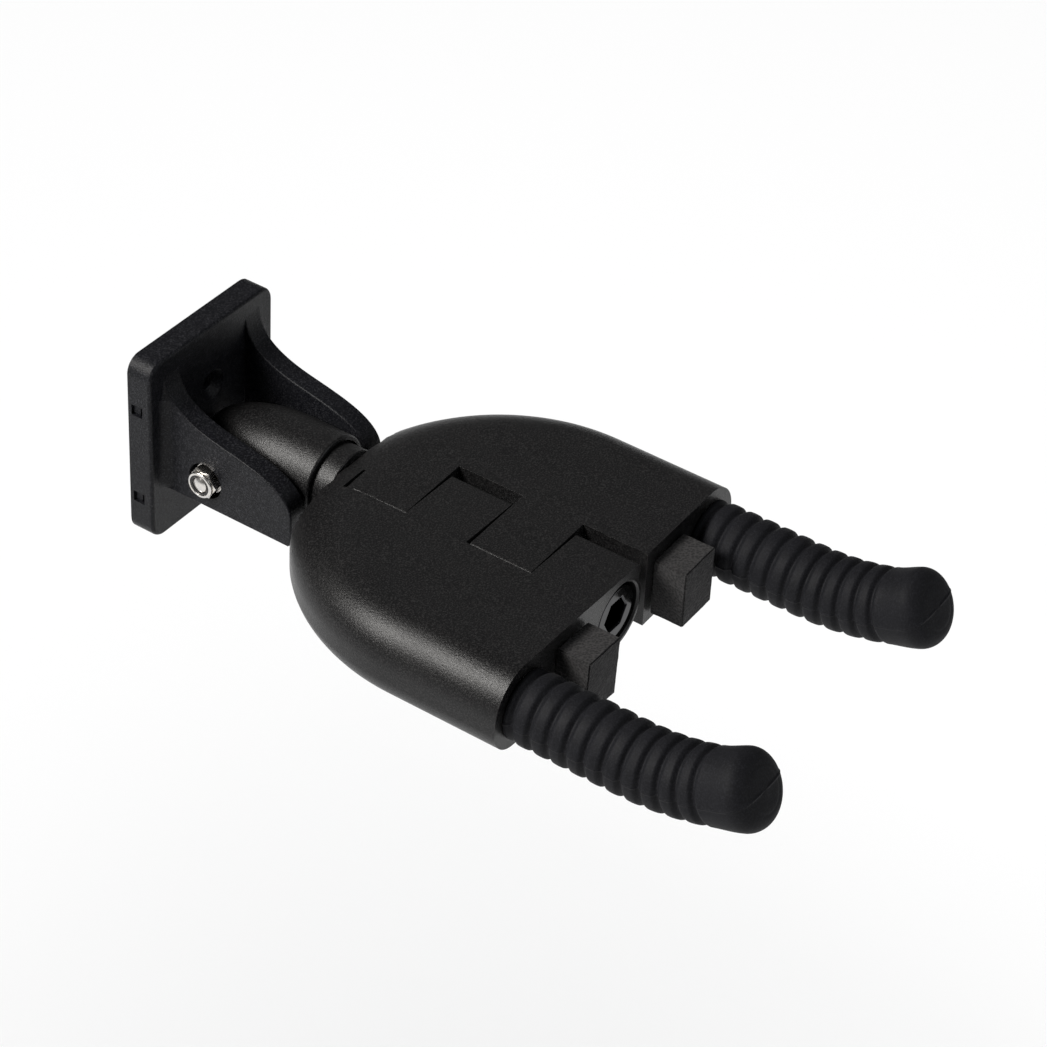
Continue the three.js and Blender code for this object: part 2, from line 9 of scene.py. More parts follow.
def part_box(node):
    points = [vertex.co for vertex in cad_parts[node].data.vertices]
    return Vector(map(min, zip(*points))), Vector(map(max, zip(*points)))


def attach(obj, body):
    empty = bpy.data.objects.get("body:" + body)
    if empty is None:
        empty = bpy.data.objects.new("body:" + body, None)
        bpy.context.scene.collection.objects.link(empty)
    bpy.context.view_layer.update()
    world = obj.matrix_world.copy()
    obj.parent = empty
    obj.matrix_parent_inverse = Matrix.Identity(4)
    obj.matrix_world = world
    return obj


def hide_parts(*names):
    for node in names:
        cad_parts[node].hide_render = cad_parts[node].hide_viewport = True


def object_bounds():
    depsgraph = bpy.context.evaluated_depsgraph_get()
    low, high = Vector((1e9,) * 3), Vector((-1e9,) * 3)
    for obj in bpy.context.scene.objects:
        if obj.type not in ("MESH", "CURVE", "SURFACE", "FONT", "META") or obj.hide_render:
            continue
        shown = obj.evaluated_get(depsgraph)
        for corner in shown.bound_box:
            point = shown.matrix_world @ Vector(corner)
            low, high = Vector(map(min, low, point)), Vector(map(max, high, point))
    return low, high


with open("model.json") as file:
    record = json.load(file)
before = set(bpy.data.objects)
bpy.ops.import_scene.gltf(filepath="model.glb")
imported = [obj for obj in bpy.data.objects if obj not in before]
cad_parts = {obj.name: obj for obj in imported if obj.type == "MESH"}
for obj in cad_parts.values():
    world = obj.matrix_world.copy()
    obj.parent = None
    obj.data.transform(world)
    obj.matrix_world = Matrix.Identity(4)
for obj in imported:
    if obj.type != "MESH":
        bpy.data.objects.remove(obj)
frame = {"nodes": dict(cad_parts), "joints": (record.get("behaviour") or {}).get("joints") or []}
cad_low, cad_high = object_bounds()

MM = 0.001
joints = {joint["name"]: joint for joint in frame["joints"]}


def extent(node):
    """Lowest and highest corner of a CAD node in millimetres."""
    low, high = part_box(node)
    return low / MM, high / MM


PIVOT = Vector(joints["barrel_fold"]["pos_m"]) / MM
AXIS_Z = joints["head_swivel"]["pos_m"][2] / MM
AXIS = (0, 0, AXIS_Z)
GAP = 0.3  # left between neighbouring pieces
PAST = 1.0  # how far a cutting tool goes past the piece it cuts


# --- Mesh tools ------------------------------------------------------------------------------------------


def new_object(name, points, faces):
    mesh = bpy.data.meshes.new(name)
    mesh.from_pydata([tuple(p) for p in points], [], faces)
    mesh.validate()
    piece = bpy.data.objects.new(name, mesh)
    bpy.context.scene.collection.objects.link(piece)
    return piece


def loft(name, rings):
    """A closed solid through a stack of rings with equal numbers of points."""
    count = len(rings[0])
    points = [p for ring in rings for p in ring]
    faces = [tuple(reversed(range(count)))]
    for r in range(len(rings) - 1):
        for i in range(count):
            j = (i + 1) % count
            low, high = r * count, (r + 1) * count
            faces.append((low + i, low + j, high + j, high + i))
    faces.append(tuple(range((len(rings) - 1) * count, len(rings) * count)))
    piece = new_object(name, points, faces)
    outward(piece)
    return piece


def outward(piece):
    """Turns every face outwards."""
    mesh = bmesh.new()
    mesh.from_mesh(piece.data)
    bmesh.ops.recalc_face_normals(mesh, faces=mesh.faces)
    mesh.to_mesh(piece.data)
    mesh.free()


def prism(name, outline, axis, start, end):
    """An outline extruded along X (drawn as y, z) or along Y (drawn as x, z)."""
    place = {"X": lambda a, u, v: (a, u, v), "Y": lambda a, u, v: (u, a, v)}[axis]
    return loft(name, [[place(a, u, v) for u, v in outline] for a in (start, end)])


def block(name, low, high):
    outline = [(low[1], low[2]), (high[1], low[2]), (high[1], high[2]), (low[1], high[2])]
    return prism(name, outline, "X", low[0], high[0])


def turned(name, profile, axis, centre, sides=96):
    """A solid of revolution: profile lists (distance along the axis, radius)."""
    rings = []
    for along, radius in profile:
        ring = []
        for i in range(sides):
            angle = 2 * math.pi * i / sides
            u, v = radius * math.cos(angle), radius * math.sin(angle)
            local = {"X": (along, u, v), "Y": (u, along, v), "Z": (u, v, along)}[axis]
            ring.append(Vector(local) + Vector(centre))
        rings.append(ring)
    return loft(name, rings)


def rod(name, axis, centre, radius, start, end, sides=64):
    return turned(name, [(start, radius), (end, radius)], axis, centre, sides)


def evaluate(piece):
    """Replaces the mesh by what its modifiers make of it."""
    depsgraph = bpy.context.evaluated_depsgraph_get()
    mesh = bpy.data.meshes.new_from_object(piece.evaluated_get(depsgraph))
    piece.modifiers.clear()
    piece.data = mesh


def combine(operation, piece, *tools):
    for tool in tools:
        modifier = piece.modifiers.new("combine", "BOOLEAN")
        modifier.operation = operation
        modifier.solver = "EXACT"
        modifier.object = tool
        evaluate(piece)
        bpy.data.objects.remove(tool)
    return piece


def join(piece, *tools):
    return combine("UNION", piece, *tools)


def cut(piece, *tools):
    return combine("DIFFERENCE", piece, *tools)


def keep(piece, tool):
    return combine("INTERSECT", piece, tool)


def soften(piece, width, segments=3, angle=32):
    """Rounds every edge sharper than an angle, inner corners included."""
    modifier = piece.modifiers.new("soften", "BEVEL")
    modifier.width = width
    modifier.segments = segments
    modifier.limit_method = "ANGLE"
    modifier.angle_limit = math.radians(angle)
    modifier.miter_outer = "MITER_ARC"
    evaluate(piece)
    return piece


def mirrored(piece, side):
    """Pieces of a wing are made on the left. The right side's are mirrored."""
    if side > 0:
        piece.data.transform(Matrix.Diagonal((-1, 1, 1, 1)))
        piece.data.flip_normals()
    return piece


def finished(piece, body, material, nodes, sharp=40):
    """Scales a piece to metres, smooths its shading and attaches it to its body."""
    piece.data.transform(Matrix.Scale(MM, 4))
    piece.data.materials.clear()
    piece.data.materials.append(material)
    for polygon in piece.data.polygons:
        polygon.use_smooth = True
        polygon.material_index = 0
    piece.data.set_sharp_from_angle(angle=math.radians(sharp))
    weights = piece.modifiers.new("weights", "WEIGHTED_NORMAL")
    weights.keep_sharp = True
    evaluate(piece)
    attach(piece, body)
    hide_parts(*nodes)
    return piece


def rounded_outline(corners, steps=8):
    """A closed outline whose corners (u, v, radius) are rounded with arcs."""
    outline = []
    count = len(corners)
    for i, (u, v, radius) in enumerate(corners):
        corner = Vector((u, v))
        if radius <= 0:
            outline.append(tuple(corner))
            continue
        before = (Vector(corners[i - 1][:2]) - corner).normalized()
        after = (Vector(corners[(i + 1) % count][:2]) - corner).normalized()
        half = before.angle(after) / 2
        run = radius / math.tan(half)
        centre = corner + (before + after).normalized() * (radius / math.sin(half))
        start = corner + before * run - centre
        turn = (corner + after * run - centre).angle_signed(start)
        for step in range(steps + 1):
            angle = turn * step / steps
            c, s = math.cos(angle), math.sin(angle)
            point = centre + Vector((start.x * c - start.y * s, start.x * s + start.y * c))
            outline.append((point.x, point.y))
    return outline


def quarter_turn(steps, start=0.0):
    """Angles from a start to a quarter turn, in equal steps."""
    return [start + (math.pi / 2 - start) * step / steps for step in range(steps + 1)]


def bezier(points, steps):
    """Points along a cubic curve, without its first point."""
    a, b, c, d = (Vector(p) for p in points)
    curve = []
    for step in range(1, steps + 1):
        t = step / steps
        s = 1 - t
        curve.append(tuple(a * s**3 + b * (3 * s * s * t) + c * (3 * s * t * t) + d * t**3))
    return curve


# --- Materials -------------------------------------------------------------------------------------------


class Shader:
    """A material's nodes. Texture coordinates are the object's own, in metres."""

    def __init__(self, name):
        self.material = bpy.data.materials.new(name)
        self.material.use_nodes = True
        self.nodes = self.material.node_tree.nodes
        self.links = self.material.node_tree.links
        self.surface = self.nodes["Principled BSDF"]
        self.coordinates = self.nodes.new("ShaderNodeTexCoord").outputs["Object"]

    def noise(self, scale, detail=4.0, roughness=0.6, stretch=None):
        node = self.nodes.new("ShaderNodeTexNoise")
        node.inputs["Scale"].default_value = scale
        node.inputs["Detail"].default_value = detail
        node.inputs["Roughness"].default_value = roughness
        source = self.coordinates
        if stretch:
            mapping = self.nodes.new("ShaderNodeMapping")
            mapping.inputs["Scale"].default_value = stretch
            self.links.new(source, mapping.inputs["Vector"])
            source = mapping.outputs["Vector"]
        self.links.new(source, node.inputs["Vector"])
        return node.outputs["Fac"]

    def cells(self, scale):
        node = self.nodes.new("ShaderNodeTexVoronoi")
        node.inputs["Scale"].default_value = scale
        self.links.new(self.coordinates, node.inputs["Vector"])
        return node.outputs["Distance"]

    def spread(self, source, low, high, start=0.35, end=0.65):
        """A value that runs from low to high as its source runs from start to end."""
        node = self.nodes.new("ShaderNodeMapRange")
        self.links.new(source, node.inputs["Value"])
        node.inputs["From Min"].default_value = start
        node.inputs["From Max"].default_value = end
        node.inputs["To Min"].default_value = low
        node.inputs["To Max"].default_value = high
        return node.outputs["Result"]

    def mix(self, fac, first, second):
        """A colour between two, each a colour or another node's output."""
        node = self.nodes.new("ShaderNodeMix")
        node.data_type = "RGBA"
        self.links.new(fac, node.inputs["Factor"])
        for socket, value in ((node.inputs[6], first), (node.inputs[7], second)):
            if isinstance(value, tuple):
                socket.default_value = (*value, 1)
            else:
                self.links.new(value, socket)
        return node.outputs[2]

    def add(self, first, second, share):
        """first plus a share of second."""
        node = self.nodes.new("ShaderNodeMath")
        node.operation = "MULTIPLY_ADD"
        self.links.new(second, node.inputs[0])
        node.inputs[1].default_value = share
        self.links.new(first, node.inputs[2])
        return node.outputs[0]

    def bump(self, height, depth, strength=1.0):
        node = self.nodes.new("ShaderNodeBump")
        node.inputs["Strength"].default_value = strength
        node.inputs["Distance"].default_value = depth
        self.links.new(height, node.inputs["Height"])
        self.links.new(node.outputs["Normal"], self.surface.inputs["Normal"])

    def drive(self, socket, source):
        self.links.new(source, self.surface.inputs[socket])

    def fix(self, **values):
        for name, value in values.items():
            self.surface.inputs[name.replace("_", " ")].default_value = value


def head_coating():
    """A matte black coat with a fine speckled grain, faintly rubbed on large areas."""
    shader = Shader("head_coating")
    grain = shader.noise(2300, detail=3, roughness=0.7)
    wear = shader.noise(38, detail=5)
    speckle = shader.spread(grain, 0, 1, 0.48, 0.64)
    base = shader.mix(shader.spread(wear, 0, 1), (0.0034, 0.0033, 0.0036), (0.0048, 0.0047, 0.0049))
    shader.drive("Base Color", shader.mix(speckle, base, (0.0205, 0.02, 0.0202)))
    shader.drive("Roughness", shader.add(shader.spread(wear, 0.28, 0.34), grain, 0.06))
    shader.bump(shader.add(grain, wear, 0.2), 0.00011, 0.9)
    shader.fix(IOR=1.46, Specular_IOR_Level=0.28)
    return shader.material


def bracket_plastic():
    """Moulded nylon with a fine spark-eroded texture."""
    shader = Shader("bracket_plastic")
    grain = shader.noise(2300, detail=3, roughness=0.7)
    flow = shader.noise(60, detail=3, stretch=(1, 0.3, 0.3))
    base = shader.mix(shader.spread(flow, 0, 1), (0.0026, 0.0027, 0.0038), (0.0036, 0.0038, 0.0052))
    speckle = shader.spread(grain, 0, 1, 0.5, 0.66)
    shader.drive("Base Color", shader.mix(speckle, base, (0.026, 0.0265, 0.03)))
    shader.drive("Roughness", shader.add(shader.spread(flow, 0.33, 0.4), grain, 0.05))
    shader.bump(grain, 0.00014, 0.9)
    shader.fix(IOR=1.47, Specular_IOR_Level=0.165)
    return shader.material


def sleeve_rubber():
    """Soft rubber, dull and a little dusty, with the mould's faint grain."""
    shader = Shader("sleeve_rubber")
    grain = shader.noise(2200, detail=3)
    dust = shader.noise(90, detail=6)
    base = shader.mix(shader.spread(dust, 0, 1), (0.0034, 0.0035, 0.0047), (0.005, 0.0051, 0.0068))
    speckle = shader.spread(grain, 0, 1, 0.45, 0.7)
    shader.drive("Base Color", shader.mix(speckle, base, (0.0115, 0.0118, 0.0145)))
    shader.drive("Roughness", shader.add(shader.spread(dust, 0.6, 0.72), grain, 0.05))
    shader.bump(grain, 0.00008, 0.6)
    shader.fix(IOR=1.48, Specular_IOR_Level=0.16, Sheen_Weight=0.01, Sheen_Roughness=0.5)
    return shader.material


def charcoal_foam():
    """Closed-cell foam, cut clean, with its cells showing as pits and pale rims."""
    shader = Shader("charcoal_foam")
    cell = shader.cells(1500)
    blotch = shader.noise(260, detail=5)
    rim = shader.spread(cell, 0, 1, 0.3, 0.75)
    base = shader.mix(shader.spread(blotch, 0, 1), (0.0082, 0.0079, 0.0082), (0.0142, 0.0137, 0.0142))
    shader.drive("Base Color", shader.mix(rim, base, (0.03, 0.0286, 0.029)))
    shader.drive("Roughness", shader.spread(blotch, 0.86, 0.98))
    shader.bump(shader.add(cell, blotch, 0.5), 0.00022, 0.8)
    shader.fix(Specular_IOR_Level=0.2, Sheen_Weight=0.06, Sheen_Roughness=0.6)
    return shader.material


def black_nylon():
    """Smooth black nylon for bushes and rings."""
    shader = Shader("black_nylon")
    grain = shader.noise(900, detail=4)
    colour = shader.mix(shader.spread(grain, 0, 1), (0.008, 0.008, 0.009), (0.016, 0.016, 0.017))
    shader.drive("Base Color", colour)
    shader.drive("Roughness", shader.spread(grain, 0.34, 0.46))
    shader.bump(grain, 0.00001, 0.4)
    return shader.material


def zinc_plate():
    """Bright zinc plating with fine scratches and a faint warm tint."""
    shader = Shader("zinc_plate")
    scratch = shader.noise(700, detail=6, stretch=(1, 6, 6))
    cloud = shader.noise(400, detail=4)
    colour = shader.mix(shader.spread(cloud, 0, 1), (0.78, 0.75, 0.70), (0.62, 0.61, 0.60))
    shader.drive("Base Color", colour)
    shader.drive("Roughness", shader.spread(scratch, 0.16, 0.34))
    shader.bump(scratch, 0.00002, 0.35)
    shader.fix(Metallic=1.0)
    return shader.material


def black_oxide():
    """Oiled black oxide on steel."""
    shader = Shader("black_oxide")
    cloud = shader.noise(500, detail=5)
    colour = shader.mix(shader.spread(cloud, 0, 1), (0.01, 0.01, 0.0115), (0.022, 0.022, 0.024))
    shader.drive("Base Color", colour)
    shader.drive("Roughness", shader.spread(cloud, 0.1, 0.2))
    shader.bump(cloud, 0.00001, 0.4)
    shader.fix(Metallic=1.0)
    return shader.material


def plain_steel():
    """Drawn steel with lengthwise marks."""
    shader = Shader("plain_steel")
    marks = shader.noise(500, detail=6, stretch=(6, 1, 6))
    colour = shader.mix(shader.spread(marks, 0, 1), (0.33, 0.33, 0.34), (0.5, 0.5, 0.5))
    shader.drive("Base Color", colour)
    shader.drive("Roughness", shader.spread(marks, 0.3, 0.48))
    shader.bump(marks, 0.00002, 0.4)
    shader.fix(Metallic=1.0)
    return shader.material


MATERIALS = {
    make.__name__: make()
    for make in (
        head_coating,
        bracket_plastic,
        sleeve_rubber,
        charcoal_foam,
        black_nylon,
        zinc_plate,
        black_oxide,
        plain_steel,
    )
}


# --- Bracket ---------------------------------------------------------------------------------------------

PLATE = {"depth": 8.0, "corner": 5.0, "edge": 1.0, "back_edge": 0.4}
CHEEK = {"inner": 14.0, "outer": 20.2, "top": 24.0, "bottom": -13.4, "nose": -50.4, "chamfer": 1.0}
CHEEK_SWEEP = [(-8, 24), (-8.6, 16.5), (-14, 12.2), (-25, 9.7)]  # (y, z) of the curve out from the plate
CHEEK_NOSE = [(-25, 9.7), (-36, 7.3), (-50.4, 5.5), (-50.4, -4.5)]  # and of the one round to the nose
ROOT_RADIUS = 3.2  # of the fillet between a cheek's outer face and the plate
BACKING = {"width": 44.0, "height": 46.0, "depth": 4.5, "clearance": 0.3}
SCREWS = {"heights": (9.5, -19.5), "hole": 2.4, "countersink": 4.6, "depth": 2.2}
RECESS = {"radius": 5.4, "depth": 2.8, "hole": 2.7}
LATCH = {"heights": (13.3, -15.7), "rear": -1.5, "front": -5.2, "reach": 4.2, "size": 3.4}


def root_fillet(side):
    """The hollow fillet down a cheek's root. It fades out at its lower end and where the cheek sweeps in."""
    face, front, sunk, share = CHEEK["outer"], -PLATE["depth"], 0.5, 0.9
    stations = [
        (CHEEK["bottom"] + ROOT_RADIUS * (1 - math.cos(a)), ROOT_RADIUS * math.sin(a))
        for a in quarter_turn(8, 0.12)
    ]
    for y, z in reversed([(front, CHEEK["top"]), *bezier(CHEEK_SWEEP, 24)]):
        if front - y < ROOT_RADIUS / share:
            stations.append((z, max(0.05, share * (front - y))))
    rings = []
    for z, radius in stations:
        ring = [(face - sunk, front + sunk), (face - sunk, front - radius)]
        for angle in quarter_turn(8):
            ring.append((face + radius * (1 - math.cos(angle)), front - radius * (1 - math.sin(angle))))
        ring.append((face + radius, front + sunk))
        rings.append([(side * x, y, z) for x, y in ring])
    return loft("root_fillet", rings)


def cheek(side):
    top, nose, bottom, chamfer = CHEEK["top"], CHEEK["nose"], CHEEK["bottom"], CHEEK["chamfer"]
    face = -PLATE["depth"]
    outline = [(face + 1, top), (face, top), *bezier(CHEEK_SWEEP, 16), *bezier(CHEEK_NOSE, 28)]
    outline += [(nose, bottom + chamfer), (nose + chamfer, bottom), (face + 1, bottom)]
    span = sorted((side * CHEEK["inner"], side * CHEEK["outer"]))
    return soften(prism("cheek", outline, "X", *span), 0.6, 3, 50)


def bracket_plate(half_width, half_height):
    """The plate, with round corners, a rounded front edge and a small chamfer at the back."""
    edge, back_edge = PLATE["edge"], PLATE["back_edge"]
    stations = [(0.0, back_edge), (-back_edge, 0.0)]
    for angle in quarter_turn(8):
        stations.append((-PLATE["depth"] + edge * (1 - math.sin(angle)), edge * (1 - math.cos(angle))))
    rings = []
    for y, inset in stations:
        w, h = half_width - inset, half_height - inset
        corners = [(w, -h), (w, h), (-w, h), (-w, -h)]
        outline = rounded_outline([(x, z, PLATE["corner"] - inset) for x, z in corners], 10)
        rings.append([(x, y, z) for x, z in outline])
    return loft("wall_bracket_moulding", rings)


def cut_latches(bracket, half_width):
    """Square pockets in the plate's sides for the backing plate's tongues."""
    reach = LATCH["size"] / 2
    for side in (-1, 1):
        for z in LATCH["heights"]:
            x = sorted((side * (half_width - LATCH["reach"]), side * (half_width + PAST)))
            cut(bracket, block("latch", (x[0], LATCH["front"], z - reach), (x[1], LATCH["rear"], z + reach)))


def cut_screw_holes(bracket):
    front = -PLATE["depth"]
    profile = [
        (front - 0.1, SCREWS["countersink"] + 0.1),
        (front + SCREWS["depth"], SCREWS["hole"]),
        (PAST, SCREWS["hole"]),
    ]
    for z in SCREWS["heights"]:
        cut(bracket, turned("screw_hole", profile, "Y", (0, 0, z), 48))


def wall_bracket():
    low, high = extent("wall_bracket")
    bracket = bracket_plate(high.x, high.z)
    for side in (-1, 1):
        join(bracket, cheek(side), root_fillet(side))
    w, h = BACKING["width"] / 2 + BACKING["clearance"], BACKING["height"] / 2 + BACKING["clearance"]
    cut(bracket, block("pocket", (-w, -BACKING["depth"], -h), (w, PAST, h)))
    cut_latches(bracket, high.x)
    cut_screw_holes(bracket)
    cut(bracket, rod("pivot_hole", "X", PIVOT, RECESS["hole"], low.x - PAST, high.x + PAST))
    for side in (-1, 1):
        span = sorted((side * (CHEEK["outer"] - RECESS["depth"]), side * (CHEEK["outer"] + PAST)))
        cut(bracket, rod("recess", "X", PIVOT, RECESS["radius"], *span))
    finished(bracket, "bracket", MATERIALS["bracket_plastic"], ["wall_bracket"])


# --- Pivot bolt and nut ----------------------------------------------------------------------------------

NUT = {"collar_height": 1.0, "collar": 3.95, "lip": 0.5, "thread": 2.6, "ring_seat": 3.15, "chamfer": 0.5}
BOLT = {"radius": 2.5, "head_height": 2.4, "pitch": 0.8, "thread_length": 6.0, "thread_depth": 0.3}
BUTTON = {"wall": 0.8, "crown": 1.6, "edge": 0.15, "socket": 1.9, "socket_depth": 1.6}


def pivot_nut():
    """A lock nut: a chamfered hexagon, and a collar rolled over a nylon ring."""
    low, high = extent("pivot_nut")
    radius, edge = (high.z - low.z) / 2, NUT["chamfer"]
    hex_end = low.x + NUT["collar_height"]
    nut = turned("pivot_lock_nut", [(high.x, radius), (hex_end, radius)], "X", PIVOT, 6)
    chamfer = [
        (high.x + 0.01, radius - edge),
        (high.x - edge, radius + 0.1),
        (hex_end + edge - 0.05, radius + 0.1),
        (hex_end - 0.01, radius - edge - 0.1),
    ]
    keep(nut, turned("chamfer", chamfer, "X", PIVOT, 64))
    soften(nut, 0.08, 2, 40)
    collar, lip, waist = NUT["collar"], NUT["lip"], NUT["collar"] - 0.25
    profile = [(hex_end + 0.5, waist), (hex_end - 0.1, waist), (hex_end - 0.3, collar)]
    for angle in quarter_turn(6):
        profile.append((low.x + lip - lip * math.sin(angle), collar - lip + lip * math.cos(angle)))
    join(nut, turned("collar", profile, "X", PIVOT, 96))
    cut(nut, rod("thread", "X", PIVOT, NUT["thread"], low.x - PAST, high.x + PAST))
    cut(nut, rod("ring_seat", "X", PIVOT, NUT["ring_seat"], low.x - PAST, hex_end + 0.2, 96))
    soften(nut, 0.12, 2, 60)
    finished(nut, "bracket", MATERIALS["zinc_plate"], ["pivot_nut"], 30)


def pivot_bolt():
    """A turned bolt: its domed, threaded end in the nut on the left and a button head on the right."""
    low, high = extent("pivot_bolt")
    radius, pitch = BOLT["radius"], BOLT["pitch"]
    head_base = high.x - BOLT["head_height"]
    head = (high.z - low.z) / 2
    profile = [(low.x, 0.02), (low.x + 0.08, 0.9), (low.x + 0.3, 1.6), (low.x + 0.6, 2.1)]
    along = low.x + 0.9
    while along < low.x + BOLT["thread_length"]:
        root = radius - BOLT["thread_depth"]
        profile += [(along, root), (along + pitch / 3, radius), (along + pitch / 2, radius)]
        along += pitch
    edge, crown = BUTTON["edge"], BUTTON["crown"]
    profile += [(along, radius), (head_base, radius), (head_base, head - edge), (head_base + edge, head)]
    for angle in quarter_turn(8):
        profile.append((
            head_base + BUTTON["wall"] + crown * math.sin(angle),
            head - crown + crown * math.cos(angle),
        ))
    bolt = turned("pivot_bolt_turned", profile, "X", PIVOT, 64)
    socket_end = high.x - BUTTON["socket_depth"]
    cut(bolt, rod("socket", "X", PIVOT, BUTTON["socket"], socket_end, high.x + PAST, 6))
    finished(bolt, "bracket", MATERIALS["zinc_plate"], ["pivot_bolt"], 30)


# --- Barrel and neck -------------------------------------------------------------------------------------

BARREL = {
    "radius": 12.8,
    "front": -49.6,
    "bore": 11.5,
    "bore_end": -37.0,
    "rear": -8.4,
    "dome": 27.6,
    "lip": 0.8,
    "cross_bore": 4.0,
    "flat": 11.1,
}
HEEL = {"half_width": 7.0, "front": -24.0, "top": -6.5, "bottom": -13.0}
SCREW_WAY = {"radius": 2.3, "top": 8.8}  # of the swivel's grub screw, its top below the axis
NECK = {"journal": 9.3, "shoulder": -46.9, "groove": 7.6, "groove_ends": (-39.8, -45.2), "thread": 5.1}
THRUST_BORE = 11.05


def barrel():
    """Turned about the swivel axis with a long dome at the rear, and a square heel under it."""
    radius, front, rear, lip = BARREL["radius"], BARREL["front"], BARREL["rear"], BARREL["lip"]
    profile = []
    for angle in quarter_turn(40):
        profile.append((rear - BARREL["dome"] * (1 - math.cos(angle)), radius * math.sin(angle) + 0.01))
    for angle in quarter_turn(4):
        profile.append((front + lip - lip * math.sin(angle), radius - lip + lip * math.cos(angle)))
    body = turned("barrel_casting", profile, "Y", AXIS, 128)
    half = HEEL["half_width"]
    heel = block("heel", (-half, HEEL["front"], HEEL["bottom"]), (half, rear, HEEL["top"]))
    join(body, soften(heel, 0.6))
    cut(body, rod("bore", "Y", AXIS, BARREL["bore"], BARREL["bore_end"], front - PAST, 96))
    soften(body, 0.35, 2, 40)
    low, high = extent("pivot_bush_right")
    flange, outside = (high.z - low.z) / 2 + GAP, 20
    cut(body, rod("cross_bore", "X", PIVOT, BARREL["cross_bore"], -outside, outside))
    for span in ((BARREL["flat"], outside), (-outside, -BARREL["flat"])):
        cut(body, rod("flat", "X", PIVOT, flange, *span))
    screw_low, screw_high = extent("swivel_screw")
    middle = (screw_low + screw_high) / 2
    bottom, top = AXIS_Z - radius - PAST, AXIS_Z - SCREW_WAY["top"]
    cut(body, rod("screw_way", "Z", (middle.x, middle.y, 0), SCREW_WAY["radius"], bottom, top, 48))
    finished(body, "barrel", MATERIALS["head_coating"], ["barrel"])


def neck():
    """A collar, and behind it the grooved journal that turns in the barrel."""
    low, high = extent("neck")
    radius, journal, groove, shoulder = high.x, NECK["journal"], NECK["groove"], NECK["shoulder"]
    groove_rear, groove_front = NECK["groove_ends"]
    profile = [
        (high.y, journal - 0.4),
        (high.y - 0.4, journal),
        (groove_rear, journal),
        (groove_rear, groove),
        (groove_front, groove),
        (groove_front, journal),
        (shoulder, journal),
        (shoulder - 0.05, radius - 0.3),
        (shoulder - 0.4, radius),
    ]
    chamfer = 0.5
    for angle in quarter_turn(4):
        along = low.y + chamfer - chamfer * math.sin(angle)
        profile.append((along, radius - chamfer + chamfer * math.cos(angle)))
    collar = turned("neck_turning", profile, "Y", AXIS, 128)
    cut(collar, rod("thread", "Y", AXIS, NECK["thread"], low.y - PAST, high.y + PAST))
    finished(collar, "neck", MATERIALS["head_coating"], ["neck"])


def thrust_ring():
    low, high = extent("swivel_thrust_ring")
    chamfer = 0.3
    profile = [(high.y, high.x), (low.y + chamfer, high.x), (low.y, high.x - chamfer)]
    ring = turned("thrust_ring_turned", profile, "Y", AXIS, 96)
    cut(ring, rod("inside", "Y", AXIS, THRUST_BORE, low.y - PAST, high.y + PAST, 96))
    finished(ring, "neck", MATERIALS["black_nylon"], ["swivel_thrust_ring"])


# --- Wings, made on the left about the hinge axis, level --------------------------------------------------

HEAD = {
    "half_width": 54.9,
    "rear": -56.0,
    "front": -140.3,
    "top": 11.9,
    "bottom": -12.6,
    "side_round": 11.9,
    "rear_round": 19.2,
    "bottom_round": 9.6,
    "curve_centre": -106.1,
    "curve_length": 57.8,
}
KNUCKLE_JOINTS = (-61.8, -81.3, -101.1, -120.7)
KNUCKLE = {"slot": 12.8, "left_tip": 8.9, "right_tip": 11.7, "radius": 10.8, "bore": 6.4}
KNUCKLE_WEB = {"far": -30, "near": -9, "arc_start": -0.61 * math.pi}
TIP = {"round": 1.4, "shoulder": 3}
LUG = {"left": -3.9, "right": -2.8, "underside": 0.5}
SPRING = {"radius": 9.2, "depth": 9.4}
LIFT = math.radians(1.75)
COUNTERBORE = {"radius": 9.4, "depth": 10.1}
ARM = {"x": 42.6, "z": -1.0, "radius": 9.85, "straight": 31.8, "bend": 72.0, "length": 70.0, "prong": 5.0}
SOCKET_DEPTH = 40  # of the hole that holds a prong
GRUB = {"y": HEAD["front"] + 20, "radius": 2.3, "below": (16, 2)}
HINGE_BOLT = {"shank": 5.0, "head_height": 8.0, "edge": 0.7, "socket": 4.9, "mouth": 5.6, "socket_depth": 5.0}


def lifted(piece, side):
    """Mirrors a wing's piece if it is the right one, and sets it at the lift it has when open."""
    mirrored(piece, side)
    piece.data.transform(Matrix.Translation(AXIS) @ Matrix.Rotation(-side * LIFT, 4, "Y"))
    return piece


def head_slab():
    """Both wings in one: a D with its round end at the rear, its edges rounded above and below."""
    steps, arc_steps = 14, 88
    rings = []
    for index in range(-steps, steps + 1):
        above = index >= 0
        angle = abs(index) / steps * math.pi / 2
        inset = 1 - math.cos(angle)
        half_width = HEAD["half_width"] - inset * HEAD["side_round" if above else "bottom_round"]
        length = HEAD["curve_length"] - inset * HEAD["rear_round"]
        if above:
            height = HEAD["top"] - HEAD["side_round"] * (1 - math.sin(angle))
        else:
            height = HEAD["bottom"] + HEAD["bottom_round"] * (1 - math.sin(angle))
        ring = [(half_width, HEAD["front"], height)]
        for i in range(arc_steps + 1):
            turn = i / arc_steps * math.pi
            y = min(HEAD["curve_centre"] + length * math.sin(turn), HEAD["rear"])
            ring.append((half_width * math.cos(turn), y, height))
        ring.append((-half_width, HEAD["front"], height))
        rings.append(ring)
    return loft("slab", rings)


